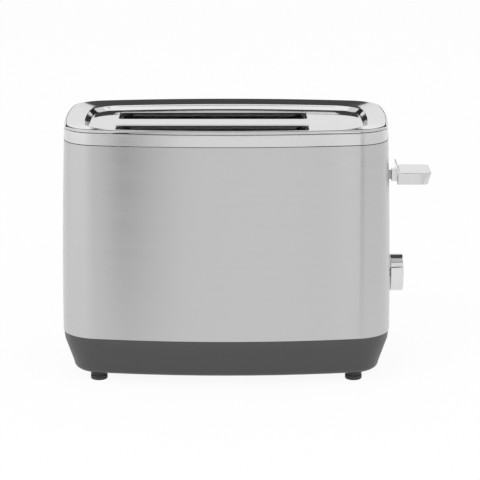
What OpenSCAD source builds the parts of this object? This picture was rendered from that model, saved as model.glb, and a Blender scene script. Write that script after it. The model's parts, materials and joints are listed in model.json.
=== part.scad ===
// Two-slice pop-up toaster: steel wrap on a plastic base, lever and dial on the right end.
// The origin is on the resting plane, below the middle of the body. The front faces -Y.

/* [Body] */
// Width of the body at its widest level, without the lever
body_w = 264; // [252:1:290]
// Depth of the body from front to back
body_d = 156; // [150:1:180]
// Radius of the four upright corners
corner_r = 31; // [28:0.5:36]
// How far each end bows out between its corners
end_bow = 2.2; // [1.2:0.1:4]
// How far the front and the back bow out between their corners
front_bow = 8.2; // [5:0.1:10]
// Inward lean of the walls for each millimetre of height
wall_draft = 0.017; // [0.005:0.001:0.022]
// Depth of the crown that rounds the walls in height
wall_crown = 0.6; // [0.1:0.05:0.9]
// Level at which the walls stand upright
crown_z = 98; // [84:1:112]

/* [Heights] */
// Height of the rubber feet below the base
foot_h = 7.6; // [5:0.1:10]
// Height of the plastic base
base_h = 31.4; // [29:0.1:36]
// Height of the steel wrap
wrap_h = 154.8; // [148:0.1:175]
// Height of the satin trim ring
ring_h = 9.6; // [8:0.1:14]
// Rise of the polished rim above the trim ring
rim_rise = 2.4; // [1.6:0.1:4]
// Depth of the slot plate below the crest of the rim
recess = 6; // [4.5:0.1:8]

/* [Sheet and clearances] */
// Thickness of the steel wrap
wrap_t = 0.8; // [0.6:0.1:1.2]
// Thickness of the polished top cover
cover_t = 1; // [0.7:0.1:1.4]
// Thickness of the trim ring
ring_t = 2.2; // [1.6:0.1:3]
// Thickness of the base wall
base_t = 2.4; // [1.8:0.1:3]
// Thickness of the chassis sheets
sheet_t = 1; // [0.8:0.1:1.4]
// Open seam between the outer shells
seam = 0.3; // [0.2:0.05:0.5]
// Clearance between assembled pieces that stay still
fit = 0.2; // [0.1:0.05:0.4]
// Clearance around pieces that move
run = 0.4; // [0.3:0.05:0.8]

/* [Base] */
// Height of the steep lip at the top of the base
lip_h = 6.5; // [3:0.5:9]
// How far the lip leans in before the flare
lip_lean = 0.9; // [0.2:0.1:2]
// How far the foot of the base lies inside its lip
base_flare = 7.7; // [5:0.1:11]
// Radius along the bottom edge of the base
base_edge_r = 5.5; // [4:0.5:8]
// Height of the collar that holds the wrap from inside
collar_h = 4; // [2:0.5:6]
// Diameter of each rubber foot
foot_d = 13.5; // [11:0.5:16]
// Distance of the feet from the ends of the body
foot_in_x = 30; // [28:0.5:38]
// Distance of the feet from the front and the back of the body
foot_in_y = 30; // [28:0.5:36]
// Diameter of the plug that holds a foot in the base
foot_plug_d = 7.4; // [6:0.2:9]
// Length of the plug that holds a foot in the base
foot_plug = 2; // [1:0.5:2.4]
// Diameter of the screws that hold the chassis
screw_d = 3; // [2.5:0.1:3.5]
// Thickness of the screw heads
screw_head = 1.8; // [1.2:0.1:2.2]
// Depth of the screw heads' seats in the base
screw_sink = 2.6; // [2.3:0.1:4]
// Diameter of the bosses around the screws
boss_d = 9; // [8:0.5:11]
// Distance of the screws from the ends of the body
boss_in = 26; // [25:0.5:28]
// Distance of the screws from the middle line of the body
boss_y = 28; // [26:0.5:30]
// Number of vent slots in the base
vent_count = 6; // [3:1:6]
// Distance between neighbouring vent slots
vent_pitch = 7; // [6:0.5:7.5]
// Width of a vent slot
vent_w = 3.4; // [2.5:0.1:4.5]
// Length of a vent slot
vent_l = 39; // [24:1:44]

/* [Rim and slots] */
// Width of the polished rim
rim_w = 18; // [15:0.5:20]
// Fall of the rim towards the recess
rim_dish = 1.3; // [0.5:0.1:1.4]
// Width of the sloping wall between the rim and the slot plate
rim_slope = 4.6; // [3:0.2:6]
// Radius along the inner edge of the rim
rim_edge = 1.2; // [0.8:0.1:2]
// Length of each bread slot
slot_len = 149; // [140:1:154]
// Width of each bread slot
slot_w = 28; // [24:0.5:32]
// Width of the bridge between the two slots
slot_gap = 29.4; // [27:0.2:33]
// Offset of the slots from the middle of the body
slot_x = -11; // [-13:0.5:-9]
// Corner radius of the slots
slot_r = 6; // [4:0.5:9]
// Radius of the rolled edge around each slot
roll_r = 2.4; // [1.5:0.1:3]
// Depth of the flange around each slot
flange_h = 9; // [6:0.5:12]

/* [Lever] */
// Height of the lever stem above the resting plane
lever_z = 157; // [153:0.2:159]
// Downward travel of the lever and the bread lifts
travel = 56; // [46:1:58]
// Thickness of the lever stem
stem_t = 3; // [2:0.5:4]
// Height of the lever stem
stem_h = 7; // [5:0.5:9]
// Width of the tab that joins the stem to the carriage
stem_tab = 11; // [8:0.5:13]
// Length of the lever slot beyond the stem at either end of its travel
slot_over = 2; // [1:0.5:3]
// Length of the lever handle
handle_l = 27.5; // [22:0.5:34]
// Width of the lever handle
handle_w = 36; // [26:0.5:44]
// Thickness of the lever handle
handle_t = 9.4; // [9:0.1:13]
// Height of the raised edge on the handle
handle_lip = 4.4; // [2:0.2:6]
// Gap between the body and the handle
handle_gap = 5; // [4:0.5:8]
// Radius of the outer corners of the handle
handle_r = 4.2; // [1:0.1:6]
// How far the end of the handle leans in towards its underside
handle_undercut = 2.7; // [0:0.2:4]

/* [Dial and buttons] */
// Height of the browning dial above the resting plane
dial_z = 75.4; // [71:0.2:77]
// Diameter of the browning dial
dial_d = 30; // [24:0.5:32]
// Length of the browning dial
dial_l = 10.4; // [8:0.2:14]
// Thickness of the dial's wall and hub
dial_wall = 2; // [1.4:0.1:3]
// Thickness of the dial's face
dial_face = 2.4; // [1.8:0.1:3]
// Chamfer around the dial's face
dial_edge = 1; // [0.4:0.1:1.6]
// Turning angle of the browning dial
dial_turn = 270; // [240:5:300]
// Diameter of the dial shaft
shaft_d = 6; // [5:0.5:7]
// Diameter of the push buttons
button_d = 11; // [9:0.5:13]
// Distance between neighbouring buttons
button_pitch = 16; // [15:0.5:17]
// Distance of the button column behind the dial
button_y = 30; // [28:0.5:33]
// Distance of the middle button below the dial's middle
button_drop = 6; // [4:0.5:7]
// Diameter of the stem behind each button
button_stem = 8; // [6:0.5:9]
// Length of a button's head behind the wrap
button_head = 4; // [3:0.2:5]
// Width of the collar that keeps a button in
button_collar = 1.2; // [0.8:0.1:1.6]
// How far the buttons stand out of the wrap
button_out = 1.4; // [1:0.1:2]
// Inward travel of a button
button_travel = 1.6; // [1:0.1:2]

/* [Chassis and heaters] */
// Gap between the slots and the chassis end plates
side_gap = 6; // [5:0.5:8]
// Lift of the chassis floor above the floor of the base
frame_lift = 11.4; // [10.5:0.1:13]
// Thickness of a mica card
mica_t = 1; // [0.6:0.1:1.4]
// Bare height of a mica card above and below the ribbon
mica_bare = 22; // [14:1:30]
// Number of ribbon turns on a mica card
turns = 11; // [7:1:13]
// Width of the heating ribbon
ribbon_w = 2; // [1:0.2:3]
// Thickness of the heating ribbon
ribbon_t = 0.4; // [0.3:0.05:0.6]
// Distance from an outer mica card to its reflector
reflector_gap = 3.6; // [2.5:0.2:4.5]
// Diameter of the guard wires
wire_d = 1.8; // [1.4:0.1:2.2]
// Number of upright wires in a guard
guard_wires = 7; // [4:1:9]
// Inward travel of a bread guard
guard_travel = 4.2; // [2:0.1:5]
// Width of a bread lift across its slot
lift_w = 12; // [8:0.5:14]
// Level of the bread lifts at rest
lift_z = 103; // [99:0.5:107]
// Height of the bar of a bread lift
lift_h = 7; // [5:0.5:9]
// Thickness of the bread lifts
lift_t = 1.2; // [0.8:0.1:1.6]
// Number of fingers on a bread lift
lift_fingers = 9; // [5:1:12]
// Height of the vent slots in the chassis end plates
louvre_h = 14; // [8:1:20]
// Width of the flanges on the chassis end plates
flange_w = 5; // [3:0.5:5.5]
// Diameter of the ribs pressed into the reflectors
rib_d = 3.2; // [2:0.2:4]

/* [Crumb tray] */
// Width of the crumb tray
tray_w = 158; // [150:1:164]
// Height of the rim of the crumb tray
tray_h = 7; // [5:0.5:8.5]
// Outward travel of the crumb tray
tray_travel = 100; // [60:5:120]
// Width of the pull on the crumb tray
pull_w = 60; // [40:1:90]

/* [Mechanism] */
// Gap between the chassis and the carriage
carriage_gap = 14.5; // [14:0.5:16]
// Length of the carriage's tabs
tab_l = 16.5; // [15:0.5:18]
// Width of the carriage's tabs
tab_w = 18; // [15:0.5:20]
// Diameter of the guide rod
rod_d = 5; // [4:0.5:6]
// Distance of the guide rod from the carriage plate
rod_out = 10.5; // [9:0.5:11]
// Distance of the guide rod behind the lever
rod_y = 18; // [16:0.5:19]
// Diameter of the spring wire
spring_wire = 1.1; // [0.8:0.1:1.3]
// Turns of the lift spring
spring_turns = 10; // [6:1:14]
// Height of the electromagnet
magnet_h = 20; // [16:0.5:22]
// Distance of the electromagnet in front of the lever
magnet_y = 20; // [18:0.5:21]
// Width of each leg of the magnet core
core_leg = 2.6; // [2:0.1:3]
// Depth of the magnet core
core_d = 10; // [8:0.5:11]
// Length of the keeper and the magnet core
keeper_l = 14; // [12:0.5:15]
// Thickness of the keeper
keeper_h = 2.5; // [1.6:0.1:3]
// Distance of the control board from the end of the body
board_in = 20; // [19:0.5:21]
// Width of the control board
board_w = 88; // [80:1:92]
// Thickness of the control board
board_t = 1.6; // [1.2:0.1:2]
// Length of the potentiometer's case
pot_l = 7; // [5:0.5:8]
// Diameter of the potentiometer's case
pot_d = 16; // [14:0.5:18]
// Height of the push switches
tact_h = 3.6; // [3:0.1:4.5]
// Width of the push switches
tact_w = 6; // [5:0.5:7]
// Distance of the button guide from the control board
guide_gap = 6.4; // [6:0.2:7]
// Thickness of the button guide
guide_t = 2; // [1.4:0.1:2.4]
// Width of the mains switch
contact_w = 12; // [9:0.5:13]

/* [Cord opening] */
// Diameter of the cord opening
cord_d = 7.6; // [6:0.2:9]
// Distance of the cord opening from the end of the body
cord_in = 48; // [40:1:60]
// Height of the cord opening above the bottom of the base
cord_rise = 15; // [14:0.5:17]
// Thickness of the bushing's rim
bushing_t = 2.4; // [1.6:0.1:3]

/* [Hidden] */

// Plan outline: three arcs in each quarter, tangent to each other.
corner_x = body_w/2 - corner_r - end_bow;
corner_y = body_d/2 - corner_r - front_bow;
end_r = corner_r + (pow(corner_y, 2) + pow(end_bow, 2))/(2*end_bow);
front_r = corner_r + (pow(corner_x, 2) + pow(front_bow, 2))/(2*front_bow);
end_a = atan2(corner_y, end_r - corner_r - end_bow);
front_a = atan2(front_r - corner_r - front_bow, corner_x);
corner_steps = 9;
front_steps = 5;
quarter = concat([0, end_a/2],
  [for (i = [0:corner_steps]) end_a + (front_a - end_a)*i/corner_steps],
  [for (i = [1:front_steps - 1]) front_a + (90 - front_a)*i/front_steps]);
half_turn = concat(quarter, [90], [for (i = [len(quarter) - 1:-1:1]) 180 - quarter[i]]);
plan_angles = concat(half_turn, [for (a = half_turn) a + 180]);

function folded(a) = let(m = a % 180) m <= 90 ? m : 180 - m;
function plan_point(a, inset) =
  let(f = folded(a),
      r = f < end_a ? end_r : f > front_a ? front_r : corner_r,
      cx = f < end_a ? body_w/2 - end_r : f > front_a ? 0 : corner_x,
      cy = f < end_a ? 0 : f > front_a ? body_d/2 - front_r : corner_y)
  [sign(cos(a))*(cx + (r - inset)*cos(f)), sign(sin(a))*(cy + (r - inset)*sin(f))];
function plan_loop(inset, z) = [for (a = plan_angles) concat(plan_point(a, inset), z)];
// Distance of the end wall and of the front wall from the middle, on the given line
function end_x(y, inset) =
  body_w/2 - end_r + sqrt(pow(end_r - inset, 2) - pow(y, 2));
function front_y(x, inset) =
  body_d/2 - front_r + sqrt(pow(front_r - inset, 2) - pow(x, 2));

// Levels, from the floor up
base_z = foot_h;
base_top = base_z + base_h;
wrap_z = base_top + seam;
wrap_top = base_top + wrap_h;
ring_z = wrap_top + seam;
ring_top = ring_z + ring_h;
cover_z = ring_top + seam;
crest_z = ring_top + rim_rise;
plate_z = crest_z - recess;
flange_z = plate_z - roll_r - flange_h;
floor_z = base_z + base_t;
frame_z = floor_z + frame_lift;
frame_top = frame_z + sheet_t;
roof_top = flange_z - seam;
roof_z = roof_top - sheet_t;
function body_inset(z) = wall_draft*(z - crown_z) + wall_crown*pow((z - crown_z)/75, 2);

// Places along the width and the depth
slot_y = (slot_w + slot_gap)/2;
card_y = 2*slot_y;
chassis_y = card_y + reflector_gap + 2*sheet_t;
left_x = slot_x - slot_len/2 - side_gap;
right_x = slot_x + slot_len/2 + side_gap;
card_w = slot_len - 4;
end_out = end_x(0, 0);
handle_x = end_out + handle_gap;
carriage_x = right_x + carriage_gap;
rod_x = carriage_x + rod_out;
board_x = end_out - board_in;
board_face = board_x + board_t;
board_y = board_w/2;
board_top = lever_z - stem_h/2 - travel - 3*run;
stem_x = carriage_x + sheet_t;
tab_z = lift_z - 2*sheet_t;
keeper_z = tab_z - keeper_h;
guide_x = board_face + guide_gap;
tray_z = floor_z + fit;
foot_x = body_w/2 - foot_in_x;
foot_y = body_d/2 - foot_in_y;
boss_x = body_w/2 - boss_in;
cord_x = body_w/2 - cord_in;
cord_z = base_z + cord_rise;

// Closed skin through loops of points that have equal counts
module skin(loops) {
  n = len(loops[0]);
  m = len(loops);
  polyhedron([for (l = loops) each l],
    [for (i = [0:m - 1]) for (j = [0:n - 1])
      [i*n + j, ((i + 1) % m)*n + j, ((i + 1) % m)*n + (j + 1) % n, i*n + (j + 1) % n]]);
}
// Ring that follows the plan outline; the section lists [inset, height] outside first, upwards
module plan_ring(section) skin([for (p = section) plan_loop(p[0], p[1])]);
module plan_2d(inset) polygon([for (a = plan_angles) plan_point(a, inset)]);
module plan_slab(inset, z, h) translate([0, 0, z]) linear_extrude(h) plan_2d(inset);
module box_at(x, y, z, size) translate([x, y, z]) cube(size);
// Rod along Z, along Y or along X, from the given point
module rod_up(p, d, l, n = 40) translate(p) cylinder(d = d, h = l, $fn = n);
module rod_back(p, d, l, n = 40) translate(p) rotate([-90, 0, 0]) cylinder(d = d, h = l, $fn = n);
module rod_right(p, d, l, n = 40) translate(p) rotate([0, 90, 0]) cylinder(d = d, h = l, $fn = n);

// Points of a rounded rectangle around the given middle, grown outwards
function corner_arc(cx, cy, r, a0) = [for (i = [0:5]) [cx + r*cos(a0 + 18*i), cy + r*sin(a0 + 18*i)]];
function rounded_box(l, w, r, grow) =
  let(x = l/2 - r, y = w/2 - r, q = r + grow)
  concat(corner_arc(x, y, q, 0), corner_arc(-x, y, q, 90),
    corner_arc(-x, -y, q, 180), corner_arc(x, -y, q, 270));
function slot_loop(side, grow, z) =
  [for (p = rounded_box(slot_len, slot_w, slot_r, grow)) [p[0] + slot_x, p[1] + side*slot_y, z]];

// ---- outer shells ----

wrap_steps = 6;
function wall_points(z0, z1, t, n) = [for (i = [0:n]) let(z = z0 + (z1 - z0)*i/n) [body_inset(z) + t, z]];

module lever_slot(z0, z1, w) hull()
  for (z = [z0 + w/2, z1 - w/2]) rod_right([board_x, 0, z], w, end_out, 32);
slot_play = stem_t/2 + 3*run;

module body_wrap() color("silver") difference() {
  plan_ring(concat(wall_points(wrap_z, wrap_top, 0, wrap_steps),
    wall_points(wrap_top, wrap_z, wrap_t, wrap_steps)));
  lever_slot(lever_z - stem_h/2 - travel - slot_over, lever_z + stem_h/2 + slot_over, 2*slot_play);
  rod_right([board_x, 0, dial_z], shaft_d + 6*run, end_out);
  for (z = button_levels) rod_right([board_x, button_y, z], button_d + 2*run, end_out);
}

ring_chamfer = 0.4;
module trim_ring() color("gainsboro") {
  o = body_inset(ring_z + ring_h/2);
  plan_ring([[o + ring_chamfer, ring_z], [o, ring_z + ring_chamfer], [o, ring_top - ring_chamfer],
    [o + ring_chamfer, ring_top], [o + ring_t, ring_top], [o + ring_t, ring_z]]);
}

// Rim of the top cover: rounded edge, dished band, sloping wall down to the plate
module top_cover() color("whitesmoke") {
  o = body_inset(crest_z);
  e = rim_rise - seam;
  wall_in = o + rim_w + rim_edge;
  plate_in = wall_in + rim_slope;
  inner_z = crest_z - rim_dish;
  edge = [for (a = [0:22.5:90]) [o + e - e*cos(a), cover_z + e*sin(a)]];
  plan_ring(concat(edge,
    [[o + rim_w*0.62, crest_z - rim_dish*0.4], [o + rim_w, inner_z], [wall_in, inner_z - 0.5],
     [plate_in, plate_z + 0.4], [plate_in + 1, plate_z], [plate_in + 4, plate_z],
     [plate_in + 4, plate_z - cover_t], [plate_in + 1 - cover_t/2, plate_z - cover_t],
     [plate_in - cover_t, plate_z - 0.3], [wall_in - cover_t, inner_z - cover_t],
     [o + rim_w*0.62, crest_z - rim_dish*0.4 - cover_t], [o + e, crest_z - cover_t],
     [o + cover_t, cover_z]]));
  translate([0, 0, plate_z - cover_t]) linear_extrude(cover_t) difference() {
    plan_2d(plate_in + 3);
    for (side = [-1, 1]) translate([slot_x, side*slot_y])
      polygon(rounded_box(slot_len, slot_w, slot_r, roll_r));
  }
  for (side = [-1, 1]) slot_flange(side);
}
// Rolled edge and upright flange of a slot, one sheet thick
module slot_flange(side) {
  t = cover_t;
  outer = [for (a = [90:-22.5:0]) [roll_r - roll_r*cos(a), -roll_r + roll_r*sin(a)]];
  inner = [for (a = [0:30:90]) [roll_r - (roll_r - t)*cos(a), -roll_r + (roll_r - t)*sin(a)]];
  section = concat([[roll_r + 1, 0]], outer, [[0, flange_z - plate_z], [t, flange_z - plate_z]],
    inner, [[roll_r + 1, -t]]);
  skin([for (p = section) slot_loop(side, p[0], plate_z + p[1])]);
}

// Base tub: flared wall with a rounded bottom edge, collar inside the wrap, floor, bosses and vents
base_out = body_inset(base_top) + seam;
lip_in = base_out + lip_lean;
base_in = base_out + base_flare;
function base_edge(r, inset, z, n) =
  [for (i = [0:n]) let(a = 90*i/n) [inset + r - r*sin(a), z + r - r*cos(a)]];
collar_in = body_inset(wrap_z) + wrap_t + fit;

module base() color("dimgray") difference() {
  union() {
    plan_ring(concat([for (p = base_edge(base_edge_r, base_in, base_z, 4)) p],
      [[lip_in, base_top - lip_h], [base_out, base_top], [collar_in, base_top],
       [collar_in, base_top + collar_h], [collar_in + base_t/2, base_top + collar_h],
       [collar_in + base_t/2, base_top - 1], [lip_in + base_t, base_top - lip_h],
       [base_in + base_t, base_z + base_edge_r], [base_in + base_edge_r + 1, base_z + base_t],
       [base_in + base_edge_r + 1, base_z]]));
    plan_slab(base_in + base_edge_r, base_z, base_t);
    bosses();
    rod_back([cord_x, cord_face - cord_seat, cord_z], cord_d + 4*bushing_t, cord_seat);
  }
  tray_window();
  rod_back([cord_x, cord_face - 2*cord_seat, cord_z], cord_d + 2*bushing_wall, 4*cord_seat);
  for (x = [-1, 1], y = [-1, 1]) {
    rod_up([x*boss_x, y*boss_y, base_z - 1], screw_d + fit, frame_z);
    rod_up([x*boss_x, y*boss_y, base_z - 1], 2*screw_d + 2*fit, screw_sink + 1);
    rod_up([x*foot_x, y*foot_y, base_z - 1], foot_plug_d + fit, foot_plug + 1 + fit);
  }
  for (i = [0:vent_count - 1]) hull() for (y = [-1, 1])
    rod_up([vent_x + vent_pitch*i, y*(vent_l - vent_w)/2, base_z - 1], vent_w, base_t + 2, 32);
}
vent_x = slot_x + tray_w/2 + 2*vent_w;
module bosses() for (x = [-1, 1], y = [-1, 1]) rod_up([x*boss_x, y*boss_y, base_z], boss_d, frame_z - base_z);
cord_face = front_y(cord_x, base_out) + 0.5;
cord_seat = 9;
bushing_wall = 1.5;

module tray_window() {
  box_at(slot_x - tray_w/2 - run, 0, floor_z, [tray_w + 2*run, body_d, tray_h + 2*fit + run]);
}

module crumb_tray() color("darkgray") {
  back = front_y(abs(slot_x) + tray_w/2, base_in) - base_t - 6;
  front = front_y(abs(slot_x) + tray_w/2, base_in + base_edge_r + 1) - run;
  t = sheet_t;
  x0 = slot_x - tray_w/2;
  difference() {
    box_at(x0, -front, tray_z, [tray_w, front + back, tray_h]);
    box_at(x0 + t, -front + t, tray_z + t, [tray_w - 2*t, front + back - 2*t, tray_h]);
  }
  // End plate that closes the window in the base, and the pull below it
  intersection() {
    box_at(x0, back - t, tray_z, [tray_w, body_d, tray_h]);
    difference() {
      plan_slab(base_in - 1, tray_z, tray_h);
      plan_slab(base_in + base_t + 1, tray_z - 1, tray_h + 2);
    }
  }
  for (x = [x0, x0 + tray_w - t])
    box_at(x, back - t, tray_z, [t, front_y(abs(x), base_in) - back - t/2, tray_h]);
  intersection() {
    box_at(slot_x - pull_w/2, 0, tray_z, [pull_w, body_d, 1.6]);
    difference() {
      plan_slab(base_in - 6, tray_z, 1.6);
      plan_slab(base_in, tray_z - 1, 4);
    }
  }
}

module foot(x, y) color("darkslategray") translate([x*foot_x, y*foot_y, 0])
  rotate_extrude($fn = 48) polygon([[0, 0], [foot_d/2 - 1, 0], [foot_d/2, 1], [foot_d/2, foot_h],
    [foot_plug_d/2, foot_h], [foot_plug_d/2, foot_h + foot_plug], [0, foot_h + foot_plug]]);

module base_screws() color("slategray") for (x = [-1, 1], y = [-1, 1])
  translate([x*boss_x, y*boss_y, base_z]) {
    translate([0, 0, screw_sink - screw_head]) difference() {
      cylinder(d = 2*screw_d, h = screw_head, $fn = 40);
      for (a = [0, 90]) rotate(a) cube([screw_d*1.3, screw_d*0.27, screw_head], center = true);
    }
    translate([0, 0, screw_sink]) cylinder(d = screw_d, h = frame_top + 1 - base_z - screw_sink, $fn = 40);
  }

module cord_bushing() color("black") difference() {
  union() {
    rod_back([cord_x, cord_face, cord_z], cord_d + 3*bushing_t, bushing_t);
    rod_back([cord_x, cord_face - cord_seat, cord_z], cord_d + 2*bushing_wall - 2*fit, cord_seat);
  }
  rod_back([cord_x, cord_face - 2*cord_seat, cord_z], cord_d, 4*cord_seat);
}

// ---- lever, dial and buttons ----

module lever_handle() color("silver") difference() {
  union() {
    intersection() {
      translate([handle_x, handle_w/2, lever_z - handle_t/2]) rotate([90, 0, 0])
        linear_extrude(handle_w) handle_side();
      translate([handle_x, 0, lever_z - handle_t]) linear_extrude(3*handle_t) handle_plan();
    }
    box_at(end_out + 1, -stem_t/2 - 3, lever_z - handle_t/2, [handle_gap, stem_t + 6, handle_t]);
  }
  box_at(end_out - 1, -stem_t/2 - fit, lever_z - stem_h/2 - fit,
    [handle_gap + handle_l*0.5, stem_t + 2*fit, stem_h + 2*fit]);
}
// Side view of the handle: a slab with rounded edges, and a fin that rises towards the body
module handle_side() offset(0.5, $fn = 24) offset(-0.5) polygon([[0, 0], [handle_l - handle_undercut, 0],
  [handle_l, handle_t*0.88], [handle_l - 0.8, handle_t], [handle_fin, handle_t],
  [handle_fin*0.7, handle_t + handle_lip*0.2], [1.2, handle_t + handle_lip], [0, handle_t + handle_lip]]);
handle_fin = 3.4;
module handle_plan() hull() for (y = [-1, 1]) {
  translate([1, y*(handle_w/2 - 1)]) circle(1, $fn = 24);
  translate([handle_l - handle_r, y*(handle_w/2 - handle_r)]) circle(handle_r, $fn = 48);
}

module lever_stem() color("gray") union() {
  box_at(stem_x, -stem_t/2, lever_z - stem_h/2, [handle_x + handle_l*0.4 - stem_x, stem_t, stem_h]);
  box_at(stem_x, -stem_tab/2, lever_z - stem_h/2, [sheet_t, stem_tab, stem_h]);
}

dial_x = end_out + 3*run;
module browning_dial() color("silver") translate([dial_x, 0, dial_z]) rotate([0, 90, 0]) difference() {
  rotate_extrude($fn = 96) polygon([[shaft_d/2 + fit, 0], [shaft_d/2 + dial_wall, 0],
    [shaft_d/2 + dial_wall, dial_l - dial_face], [dial_d/2 - dial_wall, dial_l - dial_face],
    [dial_d/2 - dial_wall, 0], [dial_d/2 - dial_edge/2, 0], [dial_d/2, dial_edge/2],
    [dial_d/2, dial_l - dial_edge], [dial_d/2 - dial_edge, dial_l], [0, dial_l], [0, shaft_seat],
    [shaft_d/2 + fit, shaft_seat]]);
  translate([-dial_d/2 + 1.6*dial_edge, -0.5, dial_l - 0.5]) cube([dial_d/5, 1, 1]);
}
shaft_seat = dial_l - 0.75*dial_face;

shaft_x = board_face + pot_l + fit;
module dial_shaft() color("gray")
  rod_right([shaft_x, 0, dial_z], shaft_d, dial_x + shaft_seat - fit - shaft_x, 48);

// Buttons from the top: cancel, reheat, defrost
button_levels = [for (i = [1:-1:-1]) dial_z - button_drop + button_pitch*i];
module button(z) color("silver") {
  face = end_x(button_y, body_inset(z)) + button_out;
  head = button_head + wrap_t + button_travel;
  back = face - board_face - tact_h - button_travel - run;
  translate([face, button_y, z]) rotate([0, -90, 0]) rotate_extrude($fn = 64) polygon([[0, 0],
    [button_d/2 - 0.8, 0], [button_d/2, 0.8], [button_d/2, head - button_collar],
    [button_d/2 + button_collar, head - button_collar], [button_d/2 + button_collar, head],
    [button_stem/2, head], [button_stem/2, back], [0, back]]);
}

module button_guide() color("dimgray") {
  h = 3*button_pitch + guide_t;
  z0 = button_levels[1] - h/2;
  w = button_d + 4*guide_t;
  difference() {
    box_at(guide_x, button_y - w/2, z0, [guide_t, w, h]);
    for (z = button_levels) rod_right([board_x, button_y, z], button_stem + 2*run, end_out);
  }
  for (z = [z0, z0 + h - guide_t]) box_at(board_face, button_y - w/2, z, [guide_gap, w, guide_t]);
}

// ---- chassis ----

module bottom_frame() color("lightgray") difference() {
  intersection() {
    plan_slab(base_in + base_t + 1, frame_z, sheet_t);
    box_at(-body_w/2, -chassis_y - 2, frame_z - 1, [body_w, 2*chassis_y + 4, 3]);
  }
  for (y = [-1, 1]) translate([slot_x, y*slot_y, frame_z - 1])
    linear_extrude(3) offset(3, $fn = 24) square([slot_len - 10, slot_w + 4], center = true);
  for (x = [-1, 1], y = [-1, 1]) rod_up([x*boss_x, y*boss_y, frame_z - 1], screw_d + fit, 4);
  rod_up([rod_x, rod_y, frame_z - 1], rod_d + fit, 4);
}

module top_frame() color("lightgray") difference() {
  box_at(left_x - 6, -chassis_y, roof_z, [carriage_x + tab_l + 4 - left_x + 6, 2*chassis_y, sheet_t]);
  for (y = [-1, 1]) translate([slot_x, y*slot_y, roof_z - 1])
    linear_extrude(3) offset(slot_r, $fn = 24)
      square([slot_len - 2*slot_r, slot_w - 2*slot_r], center = true);
  rod_up([rod_x, rod_y, roof_z - 1], rod_d + fit, 4);
}

// End plate with upright slots for the bread lifts and a flange along its foot and head
module end_plate(x, out) color("lightgray") difference() {
  union() {
    box_at(x, -chassis_y, frame_top, [sheet_t, 2*chassis_y, roof_z - frame_top]);
    for (z = [frame_top, roof_z - sheet_t])
      box_at(out > 0 ? x : x - flange_w, -card_y + 4, z, [flange_w + sheet_t, 2*card_y - 8, sheet_t]);
  }
  for (y = [-1, 1]) hull() for (z = [lift_z - travel - 1, lift_z + lift_h + 1])
    rod_right([x - 1, y*slot_y, z], lift_t + 6*run, sheet_t + 2, 24);
  for (i = [-3:3]) translate([x - 1, i*slot_y/2, roof_z - 2*louvre_h]) rotate([90, 0, 90])
    linear_extrude(sheet_t + 2) offset(2, $fn = 16) square([2, louvre_h - 4], center = true);
}
module chassis_left() end_plate(left_x - sheet_t, -1);
module chassis_right() end_plate(right_x, 1);

// Reflector sheet between the end plates, stiffened by pressed ribs
module reflector(side) color("gainsboro") {
  y = side*(card_y + reflector_gap);
  l = right_x - left_x - 2*fit;
  h = roof_z - frame_top - 2*fit;
  translate([left_x + fit, y, frame_top + fit]) union() {
    translate([0, -sheet_t/2, 0]) cube([l, sheet_t, h]);
    for (i = [1:4]) translate([l/20, side*sheet_t/2, i*h/5]) rotate([0, 90, 0])
      cylinder(d = rib_d, h = l*0.9, $fn = 12);
  }
}

// Mica card with notched edges that space the ribbon
function turn_z(i) = frame_top + mica_bare + (roof_z - frame_top - 2*mica_bare)*i/(turns - 1);
module mica(y) color("tan") difference() {
  box_at(slot_x - card_w/2, y - mica_t/2, frame_top + fit, [card_w, mica_t, roof_z - frame_top - 2*fit]);
  for (i = [0:turns - 1], s = [-1, 1])
    box_at(slot_x + s*card_w/2 - 1, y - mica_t, turn_z(i) - ribbon_w/2, [2, 2*mica_t, ribbon_w]);
}
module ribbon(y) color("orangered") for (i = [0:turns - 1]) difference() {
  box_at(slot_x - card_w/2 + 1 - ribbon_t, y - mica_t/2 - ribbon_t, turn_z(i) - ribbon_w/2,
    [card_w - 2 + 2*ribbon_t, mica_t + 2*ribbon_t, ribbon_w]);
  box_at(slot_x - card_w/2 + 1, y - mica_t/2, turn_z(i) - ribbon_w, [card_w - 2, mica_t, 2*ribbon_w]);
}

// Wire guard beside a slot: upright wires between a head rail and a foot rail
guard_y = slot_w/2 - wire_d/2 - 0.3;
module guard(y) color("darkgray") {
  l = slot_len - 12;
  z0 = frame_top + run + wire_d/2;
  z1 = roof_z - run - wire_d/2;
  for (z = [z0, z1]) rod_right([slot_x - l/2, y, z], wire_d, l, 12);
  for (i = [0:guard_wires - 1])
    rod_up([slot_x - l/2 + 4 + (l - 8)*i/(guard_wires - 1), y, z0], wire_d - 0.2, z1 - z0, 12);
}

// ---- lifting mechanism ----

module lift(side) color("lightgray") {
  y = side*slot_y;
  l = slot_len - 8;
  box_at(left_x - sheet_t - 2, y - lift_t/2, lift_z, [carriage_x - left_x + sheet_t + 2, lift_t, lift_h]);
  for (i = [0:lift_fingers - 1])
    translate([slot_x - l/2 + 4 + (l - 8)*i/(lift_fingers - 1), y, lift_z + lift_h - 2]) rotate([90, 0, 90])
      linear_extrude(lift_t, center = true) polygon([[-lift_w/2, 3], [-lift_w/2, 2], [-lift_t/2, 0],
        [lift_t/2, 0], [lift_w/2, 2], [lift_w/2, 3]]);
}

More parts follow.
